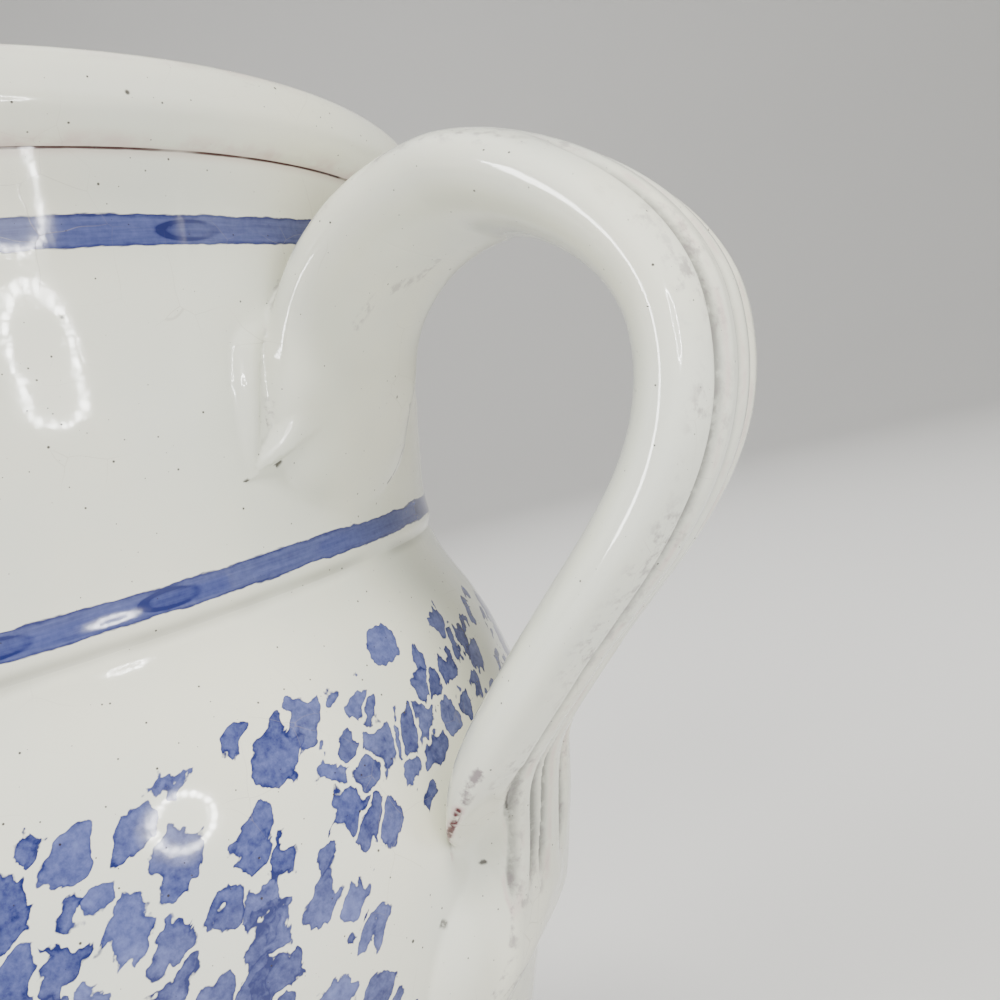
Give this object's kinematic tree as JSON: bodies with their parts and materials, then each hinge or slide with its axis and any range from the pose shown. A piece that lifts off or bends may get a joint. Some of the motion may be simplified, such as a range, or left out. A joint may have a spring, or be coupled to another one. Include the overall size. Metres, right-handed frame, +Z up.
{
  "type": "pitcher",
  "caption": "Round-bellied glazed pitcher with a rolled rim, a waisted neck, a pinched lip and a wide grooved strap handle, decorated with blue bands and sponged blotches.",
  "frame": {"origin": "centre of the flat base, on the axis of the pot", "axes": "+Z up along the pot's axis, +X towards the handle, -X towards the pouring lip"},
  "size_m": [0.1949, 0.143, 0.1738],
  "materials": {
    "glaze_white": "glossy warm white tin glaze, fine crazing and pinholes",
    "glaze_sponged": "glossy white tin glaze dabbed with cobalt blue blotches",
    "glaze_banded": "glossy white tin glaze with two brushed cobalt blue bands",
    "glaze_handle": "glossy white tin glaze, thinner and pinkish on the edges"
  },
  "bodies": {
    "root": {"foot": "glaze_white", "belly": "glaze_sponged", "neck": "glaze_banded", "rim_roll": "glaze_white", "handle_strap": "glaze_handle", "handle_top_join": "glaze_handle", "handle_bottom_join": "glaze_handle"}
  },
  "joints": []
}
